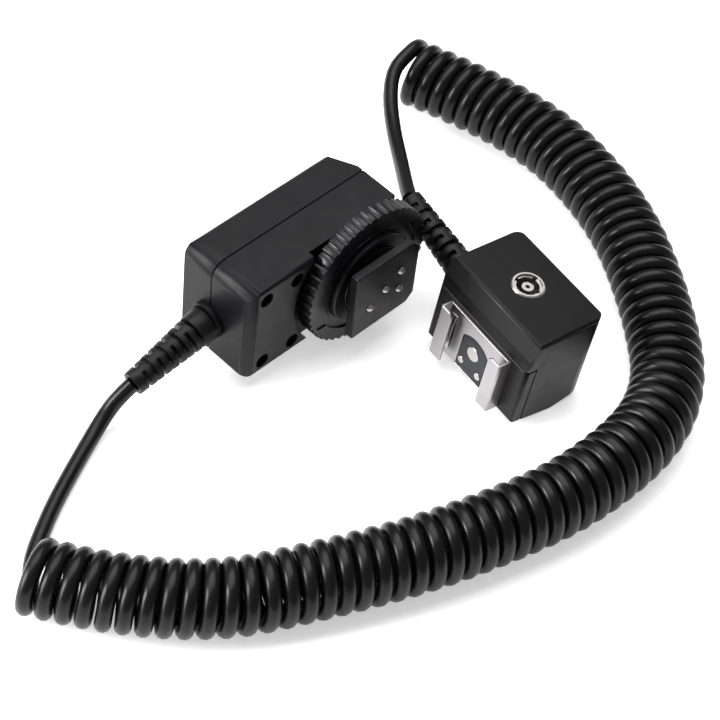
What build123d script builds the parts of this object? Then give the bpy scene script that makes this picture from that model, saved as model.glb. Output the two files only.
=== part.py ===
from build123d import *
import math
import os

# Off-camera flash cord: a camera-side unit with a sprung-pin shoe foot and a locking wheel, a flash-side unit
# with a hot shoe and a PC sync socket, and the coiled cord that joins them. All sizes are in millimetres.
#
# Model frame: Z up, the surface it lies on at Z = 0, origin under the middle of the two units.
# Each unit is drawn in a frame of its own: X along its width, Y inwards from its front (shoe) face, Z up.

# Camera-side unit, its frame's origin where the wheel axis meets the front face
CASE_LEFT = -31.9
CASE_RIGHT = 11.5
CASE_HALF_HEIGHT = 12.8
CASE_DEPTH = 20.4
PARTING_DEPTH = 12.0
FRONT_WALL = 4.0
WALL = 1.8
POCKET_RADIUS = 18.9
POCKET_DEPTH = 2.2
CORNER_CHAMFER_WIDTH = 3.3
CORNER_CHAMFER_DEPTH = 6.9
TOP_LEFT_ROUND = 3.5
FRONT_LEFT_ROUND = 2.6
EDGE_ROUND = 0.9
BACK_CHAMFER = 0.7
CASE_SCREW_X = (-27.5, -18.9)
CASE_SCREW_Z = 9.6

WHEEL_RADIUS = 17.15
WHEEL_FRONT = -2.7
WHEEL_THICKNESS = 3.6
WHEEL_TEETH = 46
RING_RADIUS = 11.4
RING_FRONT = -4.2
RING_THICKNESS = 1.4
FOOT_WIDTH = 18.6
FOOT_LENGTH = 18.7
FOOT_FRONT = -8.2
FOOT_THICKNESS = 2.0
FOOT_CORNER = 2.0
FOOT_NECK_WIDTH = 12.4
FOOT_NECK_LENGTH = 13.0
NECK_RADIUS = 8.2
NECK_BORE = 7.4
NECK_REAR = 7.0
THREAD_PITCH = 0.75
THREAD_DEPTH = 0.25
PIN_RADIUS = 1.0
PIN_TIP = -8.8
PIN_X = 4.35
PIN_Z = 2.8
RUNNING_GAP = 0.08

# Flash-side unit, its frame's origin at the lower left corner of the shoe face
FLASH_WIDTH = 29.3
FLASH_DEPTH = 20.5
FLASH_HEIGHT = 23.3
CAP_THICKNESS = 3.0
CAP_HEIGHT = 16.2
SHOE_CENTRE = 14.65
SHOE_OUTER = 19.9
SHOE_SLOT = 12.6
SHOE_SHEET = 0.6
SHOE_GAP = 2.1
SHOE_BOTTOM = 1.0
SHOE_TOP = 15.2
CONTACT_HEIGHT = 8.0
CONTACT_ROW = 4.4
CONTACT_SIDE = 2.8
CENTRE_CONTACT_RADIUS = 1.8
SIDE_CONTACT_RADIUS = 0.9
FLASH_ROUNDS = [((0.3, 18.4), 6.0), ((11.7, -1.2), 4.0), ((0, 0.3), 0.8),
                ((20.3, FLASH_HEIGHT), 0.8), ((2.0, FLASH_HEIGHT), 0.9)]
FLASH_FRONT_ROUND = 1.0
CAP_SEAM = 0.22
FLASH_BACK_ROUND = 3.8
FLASH_TOP_ROUND = 0.8
FLASH_SCREWS = [(7.4, 5.2), (21.9, 5.2)]
PC_CENTRE = (14.2, 10.7)
PC_RADIUS = 3.75
PC_BORE = 3.05
BUSH_HEIGHT = 11.0
BUSH_RADIUS = 5.0
BUSH_LENGTH = 7.0
BUSH_BORE = 3.175

# Where the cord leaves each unit, in that unit's frame, and how far out each strain relief reaches
CAMERA_EXIT = (CASE_LEFT, PARTING_DEPTH, -3.3)
FLASH_EXIT = (0.0, 11.0, 9.7)
RELIEF_RIBS = 8
RELIEF_PLAIN = 3.4

# Cord: wire, curly part and the two leads, as routes in the model frame
WIRE_RADIUS = 1.75
COIL_RADIUS = 7.9
CAMERA_TIP = (-41.0, 25.2, 9.35)
FLASH_TIP = (35.5, 20.8, 16.35)
COIL_ROUTE = [
    (-86.5, 3.0, COIL_RADIUS), (-71.5, -21.5, COIL_RADIUS), (-38.0, -38.5, COIL_RADIUS), (-17.0, -47.0, COIL_RADIUS),
    (12.5, -55.0, COIL_RADIUS), (42.5, -52.5, COIL_RADIUS), (62.0, -30.5, COIL_RADIUS), (77.0, -5.0, COIL_RADIUS),
    (82.0, 28.0, COIL_RADIUS), (72.0, 56.0, COIL_RADIUS),
]
CAMERA_LEAD_ROUTE = [
    CAMERA_TIP, (-43.9, 25.8, 7.3), (-46.7, 26.5, 3.8), (-52.2, 24.8, 1.8), (-59.7, 21.3, 1.8), (-69.2, 16.6, 1.8),
    (-76.2, 12.4, 1.8), (-81.9, 8.6, 1.8), (-86.0, 3.2, 1.8),
]
FLASH_LEAD_ROUTE = [
    FLASH_TIP, (39.6, 26.1, 14.7), (44.8, 32.2, 12.6), (51.3, 40.8, 11.3), (58.2, 49.3, 11.6), (65.3, 55.4, 12.8),
    (72.0, 56.4, 14.0),
]

CAMERA_PLACE = Location((12.19, 13.4, WHEEL_RADIUS))
FLASH_PLACE = Location((19.85, -1.4, 3.08), (-5.1, 1.5, -98.1), Extrinsic.XYZ)


def depth_plane(depth):
    """The plane at a depth behind a unit's front face, facing out of the front: its X is the unit's X, its Y is Z."""
    return Plane.XZ.offset(-depth)


def save(piece, name, place):
    """Move a finished sub-part from its unit's frame into the model frame and write it."""
    piece.part = place * piece.part
    piece.part.label = name
    export_step(piece.part, f"parts/{name}.step")


def tube(front, rear, outer, inner):
    """A ring about the wheel axis between two depths."""
    with BuildPart() as ring:
        with BuildSketch(depth_plane(rear)):
            Circle(outer)
            Circle(inner, mode=Mode.SUBTRACT)
        extrude(amount=rear - front)
    return ring


# ---------------------------------------------------------------- camera-side case
def case_block(inset):
    """The whole case's outer form, or with an inset the space inside its walls."""
    with BuildPart() as block:
        with BuildSketch(depth_plane(CASE_DEPTH - inset)) as outline:
            with Locations(((CASE_LEFT + CASE_RIGHT) / 2, 0)):
                Rectangle(CASE_RIGHT - CASE_LEFT - 2 * inset, 2 * (CASE_HALF_HEIGHT - inset))
            top_left = outline.vertices().group_by(Axis.X)[0].sort_by(Axis.Y)[-1]
            others = outline.vertices() - [top_left]
            fillet(top_left, TOP_LEFT_ROUND - inset)
            if not inset:
                fillet(others, EDGE_ROUND)
        extrude(amount=CASE_DEPTH - inset)
        with BuildSketch(Plane.XY.offset(-CASE_HALF_HEIGHT)) as plan:
            with BuildLine():
                Polyline(
                    (CASE_LEFT, 0), (CASE_RIGHT, 0), (CASE_RIGHT, CASE_DEPTH - CORNER_CHAMFER_DEPTH),
                    (CASE_RIGHT - CORNER_CHAMFER_WIDTH, CASE_DEPTH), (CASE_LEFT, CASE_DEPTH), close=True,
                )
            make_face()
            front_left = plan.vertices().group_by(Axis.X)[0].sort_by(Axis.Y)[0]
            others = plan.vertices() - [front_left]
            if inset:
                offset(amount=-inset, kind=Kind.INTERSECTION)
            else:
                fillet(front_left, FRONT_LEFT_ROUND)
                fillet(others, EDGE_ROUND)
        extrude(amount=2 * CASE_HALF_HEIGHT, mode=Mode.INTERSECT)
        if not inset:
            with BuildSketch(Plane.YZ.offset(CASE_LEFT)) as side:
                with Locations((CASE_DEPTH / 2, 0)):
                    Rectangle(CASE_DEPTH, 2 * CASE_HALF_HEIGHT)
                fillet(side.vertices().group_by(Axis.X)[0], EDGE_ROUND)
                chamfer(side.vertices().group_by(Axis.X)[-1], BACK_CHAMFER)
            extrude(amount=CASE_RIGHT - CASE_LEFT, mode=Mode.INTERSECT)
    return block


def screw_places():
    return [(x, z) for x in CASE_SCREW_X for z in (-CASE_SCREW_Z, CASE_SCREW_Z)]


def relief_passage():
    """The round hole that both case halves close round the cord's strain relief."""
    with BuildPart() as passage:
        with BuildSketch(Plane.YZ.offset(CASE_LEFT - 1)):
            with Locations((CAMERA_EXIT[1], CAMERA_EXIT[2])):
                Circle(3.3)
        extrude(amount=WALL + 2)
    return passage


def make_camera_front_shell():
    passage = relief_passage()
    outer = case_block(0)
    inner = case_block(WALL)
    with BuildPart() as camera_front_shell:
        add(outer.part)
        split(bisect_by=depth_plane(PARTING_DEPTH), keep=Keep.TOP)
        rim = camera_front_shell.faces().sort_by(Axis.Y)[-1].edges()
        chamfer(rim, 0.2)
        with BuildPart(mode=Mode.PRIVATE) as hollow:
            add(inner.part)
            split(bisect_by=depth_plane(FRONT_WALL), keep=Keep.BOTTOM)
        add(hollow.part, mode=Mode.SUBTRACT)
        with BuildSketch(depth_plane(PARTING_DEPTH)):
            with Locations(*screw_places()):
                Circle(2.4)
        extrude(amount=PARTING_DEPTH - FRONT_WALL)
        with BuildSketch(depth_plane(PARTING_DEPTH)):
            with Locations(*screw_places()):
                Circle(1.1)
        extrude(amount=PARTING_DEPTH, mode=Mode.SUBTRACT)
        with BuildSketch(depth_plane(6.5)):
            with Locations(*screw_places()):
                Circle(1.75)
        extrude(amount=7.0, mode=Mode.SUBTRACT)
        with BuildSketch(depth_plane(POCKET_DEPTH)):
            Circle(POCKET_RADIUS)
        extrude(amount=POCKET_DEPTH + 1, mode=Mode.SUBTRACT)
        with BuildSketch(depth_plane(PARTING_DEPTH)):
            Circle(NECK_RADIUS + 0.1)
        extrude(amount=PARTING_DEPTH, mode=Mode.SUBTRACT)
        add(passage.part, mode=Mode.SUBTRACT)
    save(camera_front_shell, "camera_front_shell", CAMERA_PLACE)


def make_camera_back_shell():
    passage = relief_passage()
    outer = case_block(0)
    inner = case_block(WALL)
    with BuildPart() as camera_back_shell:
        add(outer.part)
        split(bisect_by=depth_plane(PARTING_DEPTH), keep=Keep.BOTTOM)
        rim = camera_back_shell.faces().sort_by(Axis.Y)[0].edges()
        chamfer(rim, 0.2)
        add(inner.part, mode=Mode.SUBTRACT)
        with BuildSketch(depth_plane(CASE_DEPTH - WALL)):
            with Locations(*screw_places()):
                Circle(2.4)
        extrude(amount=CASE_DEPTH - WALL - PARTING_DEPTH)
        with BuildSketch(depth_plane(CASE_DEPTH - WALL)):
            with Locations(*screw_places()):
                Circle(1.0)
        extrude(amount=CASE_DEPTH - WALL - PARTING_DEPTH, mode=Mode.SUBTRACT)
        with BuildSketch(depth_plane(CASE_DEPTH - WALL)):
            with Locations((-13.0, -8.4), (-13.0, 8.4), (6.4, -8.4), (6.4, 8.4)):
                Circle(1.3)
        extrude(amount=CASE_DEPTH - WALL - 9.2)
        add(passage.part, mode=Mode.SUBTRACT)
    save(camera_back_shell, "camera_back_shell", CAMERA_PLACE)


def screw(head_front, length):
    """A small cross-head screw about the Y axis, its head towards the front."""
    with BuildPart() as body:
        with BuildSketch(depth_plane(head_front + 1.5)):
            Circle(1.6)
        extrude(amount=1.5)
        with BuildSketch(depth_plane(head_front + length)):
            Circle(0.95)
        extrude(amount=length - 1.5)
        with BuildSketch(depth_plane(head_front + 0.7)):
            Rectangle(2.0, 0.45)
            Rectangle(0.45, 2.0)
        extrude(amount=1.0, mode=Mode.SUBTRACT)
    return body


def make_camera_case_screws():
    one = screw(5.0, 11.0)
    with BuildPart() as camera_case_screws:
        for x, z in screw_places():
            add(Location((x, 0, z)) * one.part)
    save(camera_case_screws, "camera_case_screws", CAMERA_PLACE)


# ---------------------------------------------------------------- wheel, foot and pins
def make_locking_wheel():
    rear = WHEEL_FRONT + WHEEL_THICKNESS
    with BuildPart() as locking_wheel:
        with BuildSketch(depth_plane(rear)):
            Circle(WHEEL_RADIUS)
            with PolarLocations(WHEEL_RADIUS + 0.25, WHEEL_TEETH):
                Circle(0.75, mode=Mode.SUBTRACT)
            Circle(NECK_RADIUS + RUNNING_GAP, mode=Mode.SUBTRACT)
        extrude(amount=WHEEL_THICKNESS)
        with BuildSketch(depth_plane(WHEEL_FRONT + 0.5)):
            Circle(14.0)
            Circle(RING_RADIUS + 0.6, mode=Mode.SUBTRACT)
        extrude(amount=0.5, mode=Mode.SUBTRACT)
        with BuildSketch(depth_plane(WHEEL_FRONT)):
            with PolarLocations(15.3, 1, start_angle=212):
                Triangle(c=2.4, B=55, C=55, rotation=90)
        extrude(amount=0.3)
    save(locking_wheel, "locking_wheel", CAMERA_PLACE)


def make_pressure_ring():
    rear = RING_FRONT + RING_THICKNESS
    pressure_ring = tube(RING_FRONT, rear, RING_RADIUS, NECK_RADIUS + RUNNING_GAP)
    with BuildPart() as eased:
        add(pressure_ring.part)
        chamfer(eased.faces().sort_by(Axis.Y)[0].edges().sort_by(SortBy.RADIUS)[-1], 0.35)
    save(eased, "pressure_ring", CAMERA_PLACE)


def make_threaded_neck():
    front = RING_FRONT
    thread_end = 1.5
    ridges = int((thread_end - front) / THREAD_PITCH)
    profile = [(NECK_BORE, front), (NECK_RADIUS - THREAD_DEPTH, front)]
    for ridge in range(ridges):
        start = front + ridge * THREAD_PITCH
        profile.append((NECK_RADIUS, start + THREAD_PITCH / 2))
        profile.append((NECK_RADIUS - THREAD_DEPTH, start + THREAD_PITCH))
    profile += [(NECK_RADIUS, thread_end), (NECK_RADIUS, NECK_REAR), (NECK_BORE, NECK_REAR)]
    with BuildPart() as threaded_neck:
        with BuildSketch(Plane.XY):
            with BuildLine():
                Polyline(*profile, close=True)
            make_face()
        revolve(axis=Axis.Y)
    save(threaded_neck, "threaded_neck", CAMERA_PLACE)


def make_neck_nut():
    neck_nut = tube(FRONT_WALL, FRONT_WALL + 1.6, 9.5, NECK_RADIUS + 0.05)
    save(neck_nut, "neck_nut", CAMERA_PLACE)


def pin_places():
    return {
        "centre_pin": (0.0, 0.0),
        "upper_lead_pin": (PIN_X, PIN_Z),
        "lower_lead_pin": (PIN_X, -PIN_Z),
        "trailing_pin": (-PIN_X, -PIN_Z),
    }


def make_shoe_foot():
    places = list(pin_places().values())
    plate_rear = FOOT_FRONT + FOOT_THICKNESS
    with BuildPart() as shoe_foot:
        with BuildSketch(depth_plane(plate_rear)) as plate:
            Rectangle(FOOT_LENGTH, FOOT_WIDTH)
            chamfer(plate.vertices().group_by(Axis.X)[-1], FOOT_CORNER)
            fillet(plate.vertices().group_by(Axis.X)[0], 0.6)
        extrude(amount=FOOT_THICKNESS)
        fillet(shoe_foot.faces().sort_by(Axis.Y)[0].edges(), 0.25)
        with BuildSketch(depth_plane(RING_FRONT)) as block:
            Rectangle(FOOT_NECK_LENGTH, FOOT_NECK_WIDTH)
            fillet(block.vertices(), 3.0)
        extrude(amount=RING_FRONT - plate_rear)
        with BuildSketch(depth_plane(RING_FRONT)):
            with Locations(*places):
                Circle(1.45)
        extrude(amount=1.0, mode=Mode.SUBTRACT)
        with BuildSketch(depth_plane(RING_FRONT)):
            with Locations(*places):
                Circle(PIN_RADIUS + RUNNING_GAP)
        extrude(amount=RING_FRONT - FOOT_FRONT, mode=Mode.SUBTRACT)
    save(shoe_foot, "shoe_foot", CAMERA_PLACE)


def make_pin_carrier():
    places = list(pin_places().values())
    with BuildPart() as pin_carrier:
        with BuildSketch(depth_plane(3.0)):
            Circle(NECK_BORE - 0.05)
        extrude(amount=3.0 - RING_FRONT)
        with BuildSketch(depth_plane(0.5)):
            with Locations(*places):
                Circle(1.45)
        extrude(amount=0.5 - RING_FRONT, mode=Mode.SUBTRACT)
        with BuildSketch(depth_plane(3.0)):
            with Locations(*places):
                Circle(0.5)
        extrude(amount=2.5, mode=Mode.SUBTRACT)
    save(pin_carrier, "pin_carrier", CAMERA_PLACE)


def make_contact_pins():
    collar_front = RING_FRONT - 0.9
    profile = [
        (0, PIN_TIP + PIN_RADIUS), (PIN_RADIUS, PIN_TIP + PIN_RADIUS), (PIN_RADIUS, collar_front),
        (1.38, collar_front), (1.38, collar_front + 1.0), (0.7, collar_front + 1.0), (0.7, -1.5), (0, -1.5),
    ]
    for name, (x, z) in pin_places().items():
        with BuildPart() as pin:
            with BuildSketch(Plane.XY):
                with BuildLine():
                    Polyline(*profile, close=True)
                make_face()
            revolve(axis=Axis.Y)
            with Locations((0, PIN_TIP + PIN_RADIUS, 0)):
                Sphere(PIN_RADIUS)
        save(pin, name, CAMERA_PLACE * Location((x, 0, z)))


def make_pin_springs():
    spring_rear = 0.4
    with BuildPart() as one:
        with BuildLine() as wire:
            Helix(pitch=0.7, height=3.5, radius=1.1, center=(0, spring_rear - 0.15, 0), direction=(0, -1, 0))
        with BuildSketch(Plane(origin=wire.line @ 0, z_dir=wire.line % 0)):
            Circle(0.13)
        sweep(is_frenet=True)
    with BuildPart() as pin_springs:
        for x, z in pin_places().values():
            add(Location((x, 0, z)) * one.part)
    save(pin_springs, "pin_springs", CAMERA_PLACE)


def make_camera_circuit_board():
    with BuildPart() as camera_circuit_board:
        with BuildSketch(depth_plane(9.2)):
            with Locations((-3.3, 0)):
                Rectangle(22.4, 20.0)
        extrude(amount=1.0)
        with BuildSketch(depth_plane(9.2)):
            with Locations((-9.0, 3.0), (-9.0, -4.0), (3.5, 0.0)):
                Rectangle(4.0, 2.6)
        extrude(amount=-1.1)
    save(camera_circuit_board, "camera_circuit_board", CAMERA_PLACE)


# ---------------------------------------------------------------- strain reliefs and cord clamps
def strain_relief(place, exit_point, tip_point, inward, base_radius):
    """A tapered, staggered-slot relief from a case wall to its tip, with the moulded neck and collar inside."""
    tip = (place.inverse() * Location(tip_point)).position
    base = Vector(*exit_point)
    reach = tip - base
    length = reach.length
    along = Plane(origin=base, x_dir=Vector(0, 1, 0), z_dir=reach)
    flange = 1.3
    tip_radius = 2.7
    first_rib = flange + RELIEF_PLAIN
    pitch = (length - first_rib - 1.0) / RELIEF_RIBS
    with BuildPart() as relief:
        with BuildSketch(along.offset(1.1)):
            Circle(base_radius - 0.3)
        with BuildSketch(along.offset(length)):
            Circle(tip_radius)
        loft()
        for rib in range(RELIEF_RIBS):
            with BuildSketch(along.offset(first_rib + rib * pitch)):
                Circle(base_radius + 1)
                Circle(2.1, mode=Mode.SUBTRACT)
                Rectangle(2 * base_radius, 1.6, rotation=90 * (rib % 2), mode=Mode.SUBTRACT)
            extrude(amount=0.45 * pitch, mode=Mode.SUBTRACT)
        outwards = Plane(origin=base, z_dir=-Vector(*inward))
        with BuildSketch(outwards):
            Circle(base_radius)
        extrude(amount=flange)
        with BuildSketch(outwards):
            Circle(3.2 if base_radius > 4.2 else 2.6)
        extrude(amount=-WALL)
        with BuildSketch(outwards.offset(-WALL)):
            Circle(2.0)
        extrude(amount=-3.6)
        with BuildSketch(outwards.offset(-WALL - 2.4)):
            Circle(2.9)
        extrude(amount=-1.2)
    return relief


def cord_clamp(exit_point, inward):
    """A slotted plate that drops into the relief's groove behind the wall and takes the pull."""
    base = Vector(*exit_point)
    with BuildPart() as clamp:
        with BuildSketch(Plane(origin=base, x_dir=Vector(0, 1, 0), z_dir=inward).offset(WALL + 0.2)):
            Rectangle(7.0, 6.2)
            with Locations((0, 1.6)):
                Rectangle(4.2, 3.2, mode=Mode.SUBTRACT)
            Circle(2.1, mode=Mode.SUBTRACT)
        extrude(amount=2.0)
    return clamp


def make_cord_fittings():
    inward = (1, 0, 0)
    save(strain_relief(CAMERA_PLACE, CAMERA_EXIT, CAMERA_TIP, inward, 4.35), "camera_strain_relief", CAMERA_PLACE)
    save(strain_relief(FLASH_PLACE, FLASH_EXIT, FLASH_TIP, inward, 4.05), "flash_strain_relief", FLASH_PLACE)
    save(cord_clamp(CAMERA_EXIT, inward), "camera_cord_clamp", CAMERA_PLACE)
    save(cord_clamp(FLASH_EXIT, inward), "flash_cord_clamp", FLASH_PLACE)


# ---------------------------------------------------------------- flash-side case
def flash_block(inset):
    """The flash unit's outer form, or with an inset the space inside its walls."""
    with BuildPart() as block:
        with BuildSketch(Plane.YZ) as side:
            with BuildLine():
                Polyline(
                    (0, 0.3), (11.7, -1.2), (19.9, 1.1), (FLASH_DEPTH, 2.4), (20.3, FLASH_HEIGHT),
                    (2.0, FLASH_HEIGHT), (0.3, 18.4), (0, CAP_HEIGHT), close=True,
                )
            make_face()
            if inset:
                offset(amount=-inset, kind=Kind.INTERSECTION)
            else:
                for corner, radius in FLASH_ROUNDS:
                    nearest = side.vertices().sort_by_distance(Vertex(*corner, 0))[0]
                    fillet(nearest, radius)
        extrude(amount=FLASH_WIDTH)
        with BuildSketch(Plane.XY.offset(-2)) as plan:
            with Locations((FLASH_WIDTH / 2, FLASH_DEPTH / 2)):
                Rectangle(FLASH_WIDTH, FLASH_DEPTH)
            if inset:
                offset(amount=-inset, kind=Kind.INTERSECTION)
            else:
                fillet(plan.vertices().group_by(Axis.Y)[0], FLASH_FRONT_ROUND)
                fillet(plan.vertices().group_by(Axis.Y)[-1], FLASH_BACK_ROUND)
        extrude(amount=FLASH_HEIGHT + 3, mode=Mode.INTERSECT)
        if not inset:
            with BuildSketch(Plane.XZ.offset(2)) as front:
                with Locations((FLASH_WIDTH / 2, FLASH_HEIGHT / 2 - 2)):
                    Rectangle(FLASH_WIDTH, FLASH_HEIGHT + 4)
                fillet(front.vertices().group_by(Axis.Z)[-1], FLASH_TOP_ROUND)
            extrude(amount=-(FLASH_DEPTH + 6), mode=Mode.INTERSECT)
    return block


def cap_space(gap):
    """The block of space that the shoe cap takes at the front of the flash unit."""
    with BuildPart() as space:
        with Locations((-1, -1, -3)):
            Box(
                FLASH_WIDTH + 2, CAP_THICKNESS + 1 + gap, CAP_HEIGHT + 3 + gap,
                align=(Align.MIN, Align.MIN, Align.MIN),
            )
    return space


def make_flash_cover():
    outer = flash_block(0)
    inner = flash_block(WALL)
    front = cap_space(0)
    base = Vector(*FLASH_EXIT)
    with BuildPart() as flash_cover:
        add(outer.part)
        add(front.part, mode=Mode.SUBTRACT)
        add(inner.part, mode=Mode.SUBTRACT)
        with BuildSketch(depth_plane(FLASH_DEPTH - WALL + 0.3)):
            with Locations(*FLASH_SCREWS):
                Circle(2.6)
            with Locations((SHOE_CENTRE, BUSH_HEIGHT)):
                Circle(BUSH_RADIUS + 1.0)
        extrude(amount=4.5)
        with BuildSketch(depth_plane(FLASH_DEPTH + 1)):
            with Locations(*FLASH_SCREWS):
                Circle(1.8)
        extrude(amount=4.0, mode=Mode.SUBTRACT)
        with BuildSketch(depth_plane(FLASH_DEPTH + 1)):
            with Locations(*FLASH_SCREWS):
                Circle(1.1)
            with Locations((SHOE_CENTRE, BUSH_HEIGHT)):
                Circle(BUSH_RADIUS)
        extrude(amount=9.0, mode=Mode.SUBTRACT)
        with BuildSketch(Plane.XY.offset(FLASH_HEIGHT - 4)):
            with Locations(PC_CENTRE):
                Circle(PC_RADIUS + 0.02)
        extrude(amount=6.0, mode=Mode.SUBTRACT)
        with BuildSketch(Plane(origin=base, z_dir=(1, 0, 0))):
            Circle(2.7)
        extrude(amount=WALL + 1, both=True, mode=Mode.SUBTRACT)
    save(flash_cover, "flash_cover", FLASH_PLACE)


def contact_window(gap):
    """Arched window for the contact insert, in the shoe face's plane."""
    half = 4.05 + gap
    shoulder = 10.3
    with BuildSketch(depth_plane(0)) as window:
        with BuildLine():
            Polyline((SHOE_CENTRE - half, shoulder), (SHOE_CENTRE - half, 1.3), (SHOE_CENTRE + half, 1.3),
                     (SHOE_CENTRE + half, shoulder))
            ThreePointArc((SHOE_CENTRE - half, shoulder), (SHOE_CENTRE, 11.9 + gap),
                          (SHOE_CENTRE + half, shoulder))
        make_face()
    return window


def make_flash_shoe_cap():
    outer = flash_block(0)
    front = cap_space(-CAP_SEAM)
    window = contact_window(0.05)
    with BuildPart() as flash_shoe_cap:
        add(outer.part)
        add(front.part, mode=Mode.INTERSECT)
        chamfer(flash_shoe_cap.edges().filter_by(Axis.X).group_by(Axis.Z)[-1].sort_by(Axis.Y)[0], 0.25)
        with BuildSketch(depth_plane(14.0)):
            with Locations(*FLASH_SCREWS):
                Circle(2.3)
        extrude(amount=14.0 - CAP_THICKNESS + CAP_SEAM + 0.1)
        with BuildSketch(depth_plane(14.0)):
            with Locations(*FLASH_SCREWS):
                Circle(1.0)
        extrude(amount=6.0, mode=Mode.SUBTRACT)
        extrude(window.sketch, amount=CAP_THICKNESS + 1, both=True, mode=Mode.SUBTRACT)
    save(flash_shoe_cap, "flash_shoe_cap", FLASH_PLACE)


def make_flash_case_screws():
    one = screw(0, 9.0)
    turned = Location((0, FLASH_DEPTH - 1.5, 0), (0, 0, 180))
    with BuildPart() as flash_case_screws:
        for x, z in FLASH_SCREWS:
            add(Location((x, 0, z)) * turned * one.part)
    save(flash_case_screws, "flash_case_screws", FLASH_PLACE)


def make_hot_shoe():
    inner = SHOE_OUTER - 2 * SHOE_SHEET
    lip_depth = SHOE_SHEET + SHOE_GAP
    window = contact_window(0.1)
    with BuildPart() as hot_shoe:
        with BuildSketch(Plane.XY.offset(SHOE_BOTTOM)) as rails:
            with Locations((SHOE_CENTRE, -(lip_depth + SHOE_SHEET) / 2)):
                Rectangle(SHOE_OUTER, lip_depth + SHOE_SHEET)
            fillet(rails.vertices().group_by(Axis.Y)[0], 0.5)
            with Locations((SHOE_CENTRE, -SHOE_SHEET - SHOE_GAP / 2)):
                Rectangle(inner, SHOE_GAP, mode=Mode.SUBTRACT)
            with Locations((SHOE_CENTRE, -lip_depth)):
                Rectangle(SHOE_SLOT, 2 * SHOE_SHEET, mode=Mode.SUBTRACT)
        extrude(amount=SHOE_TOP - SHOE_BOTTOM)
        lip_ends = hot_shoe.edges().filter_by(Axis.Y).group_by(Axis.Z)[-1].sort_by(Axis.Y)
        inner_corners = [e for e in lip_ends if abs(abs(e.center().X - SHOE_CENTRE) - SHOE_SLOT / 2) < 0.01]
        fillet(inner_corners, 1.2)
        extrude(window.sketch, amount=SHOE_SHEET + 0.4, both=True, mode=Mode.SUBTRACT)
    save(hot_shoe, "hot_shoe", FLASH_PLACE)


def make_contact_plate():
    window = contact_window(0)
    with BuildPart() as contact_plate:
        extrude(window.sketch, amount=SHOE_SHEET)
        extrude(window.sketch, amount=-CAP_THICKNESS)
        with BuildSketch(depth_plane(CAP_THICKNESS)):
            with Locations((SHOE_CENTRE, CONTACT_HEIGHT)):
                Circle(CENTRE_CONTACT_RADIUS)
            with Locations(*side_contact_places()):
                Circle(SIDE_CONTACT_RADIUS)
        extrude(amount=CAP_THICKNESS + 1, mode=Mode.SUBTRACT)
    save(contact_plate, "contact_plate", FLASH_PLACE)


def side_contact_places():
    low = CONTACT_HEIGHT - CONTACT_ROW
    return [(SHOE_CENTRE - CONTACT_SIDE, low), (SHOE_CENTRE + CONTACT_SIDE, low)]


def contact(radius):
    """A flat-headed contact about the Y axis, proud of the shoe plate, with a tail to the circuit board."""
    with BuildPart() as stud:
        with BuildSketch(depth_plane(CAP_THICKNESS)):
            Circle(radius)
        extrude(amount=CAP_THICKNESS + SHOE_SHEET + 0.15)
        chamfer(stud.faces().sort_by(Axis.Y)[0].edges(), 0.12)
        with BuildSketch(depth_plane(5.0)):
            Circle(0.5)
        extrude(amount=5.0 - CAP_THICKNESS)
    return stud


def make_shoe_contacts():
    centre = contact(CENTRE_CONTACT_RADIUS)
    save(centre, "centre_contact", FLASH_PLACE * Location((SHOE_CENTRE, 0, CONTACT_HEIGHT)))
    side = contact(SIDE_CONTACT_RADIUS)
    with BuildPart() as side_contacts:
        for x, z in side_contact_places():
            add(Location((x, 0, z)) * side.part)
    save(side_contacts, "side_contacts", FLASH_PLACE)


def make_shoe_springs():
    """Bowed leaf springs in the two rail channels, which grip the flash's foot."""
    with BuildPart() as shoe_springs:
        for x in (SHOE_CENTRE - 8.0, SHOE_CENTRE + 8.0):
            with BuildSketch(Plane.YZ.offset(x - 1.0)):
                with BuildLine():
                    ThreePointArc((-SHOE_SHEET - 0.02, 3.0), (-SHOE_SHEET - 0.5, 8.0), (-SHOE_SHEET - 0.02, 13.0))
                    Line((-SHOE_SHEET - 0.02, 13.0), (-SHOE_SHEET - 0.22, 13.0))
                    ThreePointArc((-SHOE_SHEET - 0.22, 13.0), (-SHOE_SHEET - 0.7, 8.0), (-SHOE_SHEET - 0.22, 3.0))
                    Line((-SHOE_SHEET - 0.22, 3.0), (-SHOE_SHEET - 0.02, 3.0))
                make_face()
            extrude(amount=2.0)
    save(shoe_springs, "shoe_springs", FLASH_PLACE)


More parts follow.
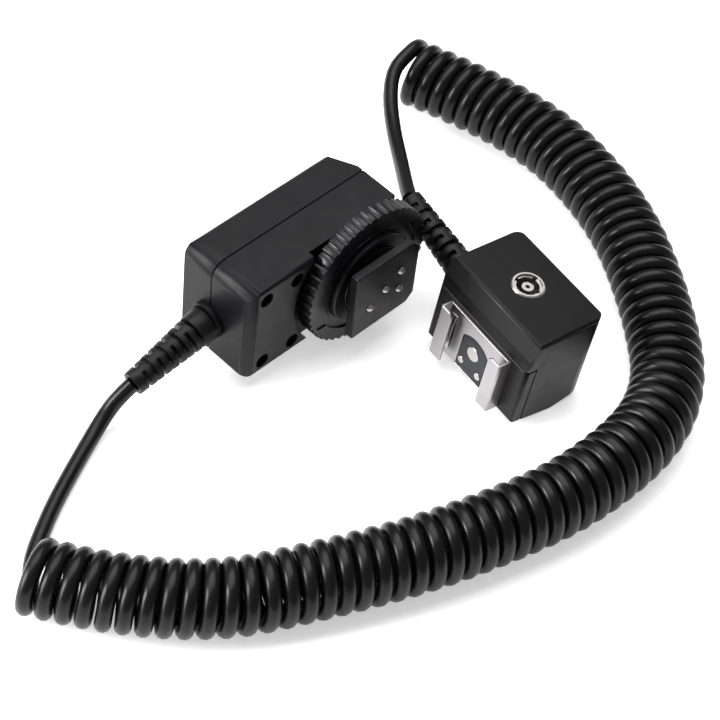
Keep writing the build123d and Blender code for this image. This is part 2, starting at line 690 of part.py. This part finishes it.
def make_pc_socket():
    base = FLASH_HEIGHT - 4.0
    with BuildPart() as pc_socket_shell:
        with BuildSketch(Plane.XY.offset(base)):
            with Locations(PC_CENTRE):
                Circle(PC_RADIUS)
                Circle(PC_BORE, mode=Mode.SUBTRACT)
        extrude(amount=4.45)
        chamfer(pc_socket_shell.faces().sort_by(Axis.Z)[-1].edges().sort_by(SortBy.RADIUS)[-1], 0.3)
        with BuildSketch(Plane.XY.offset(base)):
            with Locations(PC_CENTRE):
                Circle(PC_BORE + 0.1)
                Circle(PC_BORE - 0.5, mode=Mode.SUBTRACT)
        extrude(amount=3.9)
        with BuildSketch(Plane.XY.offset(base + 1.2)):
            with Locations(PC_CENTRE):
                with PolarLocations(PC_BORE - 0.2, 4, start_angle=20):
                    Rectangle(0.75, 0.9)
        extrude(amount=2.7, mode=Mode.SUBTRACT)
    save(pc_socket_shell, "pc_socket_shell", FLASH_PLACE)
    with BuildPart() as pc_socket_insulator:
        with BuildSketch(Plane.XY.offset(base)):
            with Locations(PC_CENTRE):
                Circle(PC_BORE - 0.52)
                Circle(0.4, mode=Mode.SUBTRACT)
        extrude(amount=1.0)
    save(pc_socket_insulator, "pc_socket_insulator", FLASH_PLACE)
    with BuildPart() as pc_socket_pin:
        with BuildSketch(Plane.XY.offset(base + 1.0)):
            with Locations(PC_CENTRE):
                Circle(1.3)
        extrude(amount=2.7)
        with BuildSketch(Plane.XY.offset(base + 1.8)):
            with Locations(PC_CENTRE):
                Circle(0.5)
        extrude(amount=3.0, mode=Mode.SUBTRACT)
        with BuildSketch(Plane.XY.offset(base - 1.5)):
            with Locations(PC_CENTRE):
                Circle(0.38)
        extrude(amount=2.6)
    save(pc_socket_pin, "pc_socket_pin", FLASH_PLACE)


def make_flash_inside():
    with BuildPart() as flash_circuit_board:
        with BuildSketch(depth_plane(6.0)):
            with Locations((SHOE_CENTRE, 11.9)):
                Rectangle(13.2, 7.6)
        extrude(amount=1.0)
        with BuildSketch(depth_plane(6.0)):
            with Locations((SHOE_CENTRE - 3.0, 13.0), (SHOE_CENTRE + 3.0, 11.0)):
                Rectangle(3.6, 2.4)
        extrude(amount=-1.1)
    save(flash_circuit_board, "flash_circuit_board", FLASH_PLACE)
    with BuildPart() as tripod_bush:
        with BuildSketch(depth_plane(FLASH_DEPTH - 0.3)):
            with Locations((SHOE_CENTRE, BUSH_HEIGHT)):
                Circle(BUSH_RADIUS)
                Circle(BUSH_BORE, mode=Mode.SUBTRACT)
        extrude(amount=BUSH_LENGTH)
    save(tripod_bush, "tripod_bush", FLASH_PLACE)


# ---------------------------------------------------------------- cord
def cord_radii(route):
    """The bend radius that each inner corner's two runs leave room for."""
    points = [Vector(*point) for point in route]
    radii = []
    for before, corner, after in zip(points, points[1:], points[2:]):
        arriving = corner - before
        leaving = after - corner
        shorter = min(arriving.length, leaving.length)
        half_turn = math.radians(arriving.get_angle(leaving)) / 2
        radii.append(0.45 * shorter / math.tan(half_turn))
    return radii


def make_cord(name, route, radius):
    radii = cord_radii(route)
    print(name, "radii", [round(r, 1) for r in radii])
    with BuildPart() as cord:
        with BuildLine() as path:
            FilletPolyline(*route, radius=radii)
        start = path.wires()[0]
        with BuildSketch(Plane(origin=start @ 0, z_dir=start % 0)):
            Circle(radius)
        sweep()
    length = path.wires()[0].length
    ratio = cord.part.volume / (math.pi * radius**2 * length)
    print(name, "length", round(length, 1), "volume ratio", round(ratio, 4))
    save(cord, name, Location())


def main():
    os.makedirs("parts", exist_ok=True)
    make_camera_front_shell()
    make_camera_back_shell()
    make_camera_case_screws()
    make_locking_wheel()
    make_pressure_ring()
    make_threaded_neck()
    make_neck_nut()
    make_shoe_foot()
    make_pin_carrier()
    make_contact_pins()
    make_pin_springs()
    make_camera_circuit_board()
    make_cord_fittings()
    make_flash_cover()
    make_flash_shoe_cap()
    make_flash_case_screws()
    make_hot_shoe()
    make_contact_plate()
    make_shoe_contacts()
    make_shoe_springs()
    make_pc_socket()
    make_flash_inside()
    make_cord("camera_lead", CAMERA_LEAD_ROUTE, WIRE_RADIUS)
    make_cord("cord_coil", COIL_ROUTE, COIL_RADIUS)
    make_cord("flash_lead", FLASH_LEAD_ROUTE, WIRE_RADIUS)


main()
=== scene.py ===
import math

import bpy
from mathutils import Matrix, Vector


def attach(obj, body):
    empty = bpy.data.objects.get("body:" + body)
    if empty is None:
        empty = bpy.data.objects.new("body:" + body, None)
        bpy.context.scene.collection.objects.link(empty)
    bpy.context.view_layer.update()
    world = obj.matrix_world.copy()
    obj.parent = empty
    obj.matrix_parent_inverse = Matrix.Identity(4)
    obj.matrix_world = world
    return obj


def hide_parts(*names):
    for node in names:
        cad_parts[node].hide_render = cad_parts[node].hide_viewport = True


# A coiled off-camera flash cord on a white table: the camera unit, the flash unit and the curly cord
# between them.
# Blender's own values are in metres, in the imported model's frame. The cord's route, the grain of the
# finishes and the eased edges are written in millimetres.

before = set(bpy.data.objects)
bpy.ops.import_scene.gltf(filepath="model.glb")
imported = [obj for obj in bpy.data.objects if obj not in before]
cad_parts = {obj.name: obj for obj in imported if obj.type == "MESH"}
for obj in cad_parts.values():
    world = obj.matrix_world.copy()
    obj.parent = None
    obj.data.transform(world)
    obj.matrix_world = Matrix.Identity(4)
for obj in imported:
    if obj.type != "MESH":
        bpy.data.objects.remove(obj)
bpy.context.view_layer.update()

MM = 0.001
UP = Vector((0, 0, 1))

# The cord: one wire, from the camera unit's strain relief, through the curly part, to the flash unit's
WIRE_DIAMETER = 3.5 * MM
TURNS = 71.5
POINTS_PER_TURN = 16
COIL_OUTER_RADIUS = 7.9 * MM
COIL_HEIGHT = 7.9
CAMERA_LEAD = [
    (-41.0, 25.2, 9.35), (-43.9, 25.8, 7.3), (-46.7, 26.5, 3.8), (-52.2, 24.8, 1.8), (-59.7, 21.3, 1.8),
    (-69.2, 16.6, 1.8), (-76.2, 12.4, 1.8), (-81.9, 8.6, 1.8),
]
COIL_ROUTE = [
    (-86.5, 3.0, COIL_HEIGHT), (-71.5, -21.5, COIL_HEIGHT), (-38.0, -38.5, COIL_HEIGHT),
    (-17.0, -47.0, COIL_HEIGHT), (12.5, -55.0, COIL_HEIGHT), (42.5, -52.5, COIL_HEIGHT),
    (62.0, -30.5, COIL_HEIGHT), (77.0, -5.0, COIL_HEIGHT), (82.0, 28.0, COIL_HEIGHT),
    (72.0, 56.0, COIL_HEIGHT),
]
FLASH_LEAD = [
    (65.3, 55.4, 12.8), (58.2, 49.3, 11.6), (51.3, 40.8, 11.3), (44.8, 32.2, 12.6), (39.6, 26.1, 14.7),
    (35.5, 20.8, 16.35),
]


# ---------------------------------------------------------------- camera, floor and light
def add_camera():
    camera = bpy.data.objects.new("camera", bpy.data.cameras.new("camera"))
    bpy.context.collection.objects.link(camera)
    camera.location = (-0.24134, -0.19989, 0.37962)
    camera.rotation_euler = [math.radians(angle) for angle in (39.90, -4.90, -44.59)]
    camera.data.lens = 115
    camera.data.sensor_width = 36
    camera.data.clip_start = 0.05
    camera.data.clip_end = 20
    bpy.context.scene.camera = camera


def add_floor():
    mesh = bpy.data.meshes.new("floor")
    size = 3.0
    corners = [(-size, -size, 0), (size, -size, 0), (size, size, 0), (-size, size, 0)]
    mesh.from_pydata(corners, [], [(0, 1, 2, 3)])
    floor = bpy.data.objects.new("floor", mesh)
    bpy.context.collection.objects.link(floor)
    material = bpy.data.materials.new("floor_white")
    material.use_nodes = True
    shader = material.node_tree.nodes["Principled BSDF"]
    shader.inputs["Base Color"].default_value = (0.93, 0.93, 0.93, 1)
    shader.inputs["Roughness"].default_value = 0.9
    shader.inputs["Specular IOR Level"].default_value = 0.1
    shader.inputs["Emission Color"].default_value = (1, 1, 1, 1)
    shader.inputs["Emission Strength"].default_value = 0.45
    floor.data.materials.append(material)


def add_area_light(name, place, target, size, power, tint=(1, 1, 1)):
    data = bpy.data.lights.new(name, "AREA")
    data.shape = "RECTANGLE"
    data.size, data.size_y = size
    data.energy = power
    data.color = tint
    light = bpy.data.objects.new(name, data)
    bpy.context.collection.objects.link(light)
    light.location = place
    light.rotation_euler = (Vector(target) - Vector(place)).to_track_quat("-Z", "Y").to_euler()


def add_lighting():
    world = bpy.data.worlds.new("studio")
    world.use_nodes = True
    background = world.node_tree.nodes["Background"]
    background.inputs["Color"].default_value = (1, 1, 1, 1)
    background.inputs["Strength"].default_value = 0.32
    bpy.context.scene.world = world
    add_area_light("overhead_softbox", (0.1, 0.3, 0.95), (0, 0, 0), (1.3, 0.9), 16.0)
    add_area_light("left_softbox", (-0.8, 0.5, 0.5), (0, 0, 0), (0.3, 0.4), 11.0)
    add_area_light("low_strip", (-0.75, 0.5, 0.14), (0, 0, 0.01), (0.5, 0.2), 6.0)
    bpy.context.scene.view_settings.view_transform = "Standard"


# ---------------------------------------------------------------- materials
def new_material(name):
    material = bpy.data.materials.new(name)
    material.use_nodes = True
    return material, material.node_tree.nodes, material.node_tree.links


def noise(nodes, links, scale, detail=4.0, stretch=(1, 1, 1)):
    """Noise over the object's own coordinates, which are metres; scale is features per metre."""
    coordinates = nodes.new("ShaderNodeTexCoord")
    mapping = nodes.new("ShaderNodeMapping")
    mapping.inputs["Scale"].default_value = stretch
    texture = nodes.new("ShaderNodeTexNoise")
    texture.inputs["Scale"].default_value = scale
    texture.inputs["Detail"].default_value = detail
    links.new(coordinates.outputs["Object"], mapping.inputs["Vector"])
    links.new(mapping.outputs["Vector"], texture.inputs["Vector"])
    return texture.outputs["Fac"]


def spread(nodes, links, source, low, high):
    """The noise's middle range, spread between two values."""
    ranged = nodes.new("ShaderNodeMapRange")
    ranged.inputs["From Min"].default_value = 0.3
    ranged.inputs["From Max"].default_value = 0.7
    ranged.inputs["To Min"].default_value = low
    ranged.inputs["To Max"].default_value = high
    links.new(source, ranged.inputs["Value"])
    return ranged.outputs["Result"]


def blend_colours(nodes, links, source, first, second):
    mix = nodes.new("ShaderNodeMix")
    mix.data_type = "RGBA"
    mix.inputs["A"].default_value = (*first, 1)
    mix.inputs["B"].default_value = (*second, 1)
    links.new(source, mix.inputs["Factor"])
    return mix.outputs["Result"]


def surface(name, colours, roughness, grain_mm, grain_depth_mm, metallic=0.0, specular=0.5,
            stretch=(1, 1, 1)):
    """A finish with slow colour drift, uneven gloss and a fine raised grain."""
    material, nodes, links = new_material(name)
    shader = nodes["Principled BSDF"]
    shader.inputs["Metallic"].default_value = metallic
    shader.inputs["Specular IOR Level"].default_value = specular
    drift = spread(nodes, links, noise(nodes, links, 60), 0, 1)
    links.new(blend_colours(nodes, links, drift, *colours), shader.inputs["Base Color"])
    patches = noise(nodes, links, 350, 6.0, stretch)
    links.new(spread(nodes, links, patches, *roughness), shader.inputs["Roughness"])
    bump = nodes.new("ShaderNodeBump")
    bump.inputs["Strength"].default_value = 0.6
    bump.inputs["Distance"].default_value = grain_depth_mm * MM
    links.new(noise(nodes, links, 1 / (grain_mm * MM), 3.0, stretch), bump.inputs["Height"])
    links.new(bump.outputs["Normal"], shader.inputs["Normal"])
    return material


def make_materials():
    return {
        "case": surface(
            "black_case", [(0.0022, 0.0022, 0.0030), (0.0032, 0.0032, 0.0042)],
            (0.32, 0.42), 0.22, 0.010, specular=0.12,
        ),
        "flash_case": surface(
            "flash_case", [(0.0020, 0.0020, 0.0024), (0.0028, 0.0028, 0.0033)],
            (0.28, 0.38), 0.2, 0.009, specular=0.14,
        ),
        "wheel": surface(
            "wheel_plastic", [(0.0035, 0.0035, 0.0046), (0.005, 0.005, 0.0062)],
            (0.26, 0.36), 0.3, 0.005, specular=0.26,
        ),
        "foot": surface(
            "foot_plastic", [(0.0026, 0.0026, 0.0036), (0.0038, 0.0038, 0.005)],
            (0.3, 0.42), 0.25, 0.006, specular=0.14,
        ),
        "insulator": surface(
            "insulator", [(0.006, 0.006, 0.008), (0.010, 0.010, 0.012)],
            (0.4, 0.5), 0.2, 0.006, specular=0.35,
        ),
        "rubber": surface(
            "relief_rubber", [(0.0022, 0.0022, 0.0024), (0.004, 0.004, 0.0042)],
            (0.4, 0.54), 0.2, 0.012, specular=0.2,
        ),
        "jacket": surface(
            "cord_jacket", [(0.002, 0.002, 0.0021), (0.0034, 0.0034, 0.0036)],
            (0.26, 0.36), 0.3, 0.006, specular=0.2,
        ),
        "screw": surface(
            "black_screw", [(0.02, 0.02, 0.02), (0.035, 0.035, 0.035)],
            (0.3, 0.45), 0.1, 0.004, metallic=1.0,
        ),
        "plating": surface(
            "satin_plating", [(0.30, 0.285, 0.29), (0.37, 0.35, 0.355)],
            (0.3, 0.42), 0.15, 0.003, metallic=1.0, stretch=(1, 1, 12),
        ),
        "contact": surface(
            "contact_plating", [(0.34, 0.325, 0.32), (0.42, 0.40, 0.39)],
            (0.24, 0.36), 0.12, 0.002, metallic=1.0,
        ),
        "brass": surface(
            "turned_brass", [(0.7, 0.5, 0.22), (0.78, 0.58, 0.28)],
            (0.22, 0.34), 0.1, 0.004, metallic=1.0,
        ),
        "steel": surface(
            "spring_steel", [(0.5, 0.5, 0.52), (0.6, 0.6, 0.62)],
            (0.25, 0.4), 0.1, 0.003, metallic=1.0,
        ),
        "brown": surface(
            "brown_insulator", [(0.022, 0.012, 0.010), (0.035, 0.018, 0.014)],
            (0.35, 0.45), 0.2, 0.004,
        ),
        "insert": surface(
            "shoe_insert", [(0.009, 0.010, 0.014), (0.013, 0.014, 0.019)],
            (0.4, 0.5), 0.2, 0.004, specular=0.25,
        ),
        "board": surface(
            "circuit_board", [(0.01, 0.1, 0.04), (0.02, 0.14, 0.06)],
            (0.25, 0.35), 0.2, 0.004,
        ),
    }


NODE_FINISH = {
    "camera_front_shell": "case", "camera_back_shell": "case", "camera_case_screws": "screw",
    "locking_wheel": "wheel", "pressure_ring": "foot", "threaded_neck": "wheel", "neck_nut": "steel",
    "shoe_foot": "foot", "pin_carrier": "insulator", "centre_pin": "contact", "upper_lead_pin": "contact",
    "lower_lead_pin": "contact", "trailing_pin": "contact", "pin_springs": "steel",
    "camera_circuit_board": "board", "camera_cord_clamp": "insulator", "camera_strain_relief": "rubber",
    "flash_cover": "flash_case", "flash_shoe_cap": "flash_case", "flash_case_screws": "screw",
    "hot_shoe": "plating", "contact_plate": "insert", "centre_contact": "contact",
    "side_contacts": "contact", "shoe_springs": "steel", "pc_socket_shell": "contact",
    "pc_socket_insulator": "brown", "pc_socket_pin": "contact", "flash_circuit_board": "board",
    "tripod_bush": "brass", "flash_cord_clamp": "insulator", "flash_strain_relief": "rubber",
}


WELD_GAP_MM = 0.002
FLAT_ANGLE = math.radians(0.5)
SHARP_ANGLE = math.radians(35)
# How wide each moulded or machined piece's edges are eased, in millimetres
EASED_EDGES = {
    "camera_front_shell": 0.16, "camera_back_shell": 0.16, "shoe_foot": 0.14, "locking_wheel": 0.12,
    "pressure_ring": 0.12, "threaded_neck": 0.08, "pin_carrier": 0.12, "flash_cover": 0.16,
    "flash_shoe_cap": 0.14, "hot_shoe": 0.12, "contact_plate": 0.1, "pc_socket_shell": 0.1,
    "camera_strain_relief": 0.14, "flash_strain_relief": 0.14, "centre_contact": 0.08,
    "side_contacts": 0.08,
}


def ease_edges(piece, width):
    """Rounds a CAD piece's sharp edges a little, as moulding does, so that they catch the light."""
    weld = piece.modifiers.new("weld", "WELD")
    weld.merge_threshold = WELD_GAP_MM * MM
    flatten = piece.modifiers.new("flatten", "DECIMATE")
    flatten.decimate_type = "DISSOLVE"
    flatten.angle_limit = FLAT_ANGLE
    bevel = piece.modifiers.new("eased", "BEVEL")
    bevel.width = width * MM
    bevel.segments = 2
    bevel.limit_method = "ANGLE"
    bevel.angle_limit = SHARP_ANGLE
    bevel.harden_normals = True


def dress(piece, material):
    piece.data.materials.clear()
    piece.data.materials.append(material)


# ---------------------------------------------------------------- cord
def nurbs_line(name, points):
    """One open smooth line with the points as its control points."""
    curve = bpy.data.curves.new(name, "CURVE")
    curve.dimensions = "3D"
    spline = curve.splines.new("NURBS")
    spline.points.add(len(points) - 1)
    for point, place in zip(spline.points, points):
        point.co = (*place, 1)
    spline.order_u = 3
    spline.use_endpoint_u = True
    line = bpy.data.objects.new(name, curve)
    bpy.context.collection.objects.link(line)
    return line


def read_line(line):
    """The points along an unbevelled curve, in order."""
    line.data.resolution_u = 40
    bpy.context.view_layer.update()
    mesh = bpy.data.meshes.new_from_object(line)
    return [vertex.co.copy() for vertex in mesh.vertices]


def metres(route):
    return [Vector(point) * MM for point in route]


def helix_points():
    """The curly part's turns, left-handed about the coil's route, from the bottom of the first to the top
    of the last."""
    route = nurbs_line("coil_route", metres(COIL_ROUTE))
    line = read_line(route)
    bpy.data.objects.remove(route)
    travelled = [0.0]
    for before, after in zip(line, line[1:]):
        travelled.append(travelled[-1] + (after - before).length)
    radius = (COIL_OUTER_RADIUS - WIRE_DIAMETER / 2) / math.cos(math.pi / POINTS_PER_TURN) ** 2
    steps = round(TURNS * POINTS_PER_TURN)
    points = []
    span = 0
    for step in range(steps + 1):
        distance = travelled[-1] * step / steps
        while span < len(line) - 2 and travelled[span + 1] < distance:
            span += 1
        run = line[span + 1] - line[span]
        share = (distance - travelled[span]) / run.length
        centre = line[span] + run * share
        side = run.cross(UP).normalized()
        angle = math.radians(-90 + 360 * TURNS * step / steps)
        points.append(centre + radius * (math.cos(angle) * side + math.sin(angle) * UP))
    return points


def add_cord(materials):
    points = metres(CAMERA_LEAD) + helix_points() + metres(FLASH_LEAD)
    cord = nurbs_line("curly_cord", points)
    cord.data.resolution_u = 3
    cord.data.bevel_depth = WIRE_DIAMETER / 2
    cord.data.bevel_resolution = 4
    cord.data.use_fill_caps = True
    dress(cord, materials["jacket"])
    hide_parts("camera_lead", "cord_coil", "flash_lead")
    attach(cord, "root")


def main():
    add_camera()
    add_floor()
    add_lighting()
    materials = make_materials()
    add_cord(materials)
    for node, finish in NODE_FINISH.items():
        dress(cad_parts[node], materials[finish])
    for node, width in EASED_EDGES.items():
        ease_edges(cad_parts[node], width)


main()
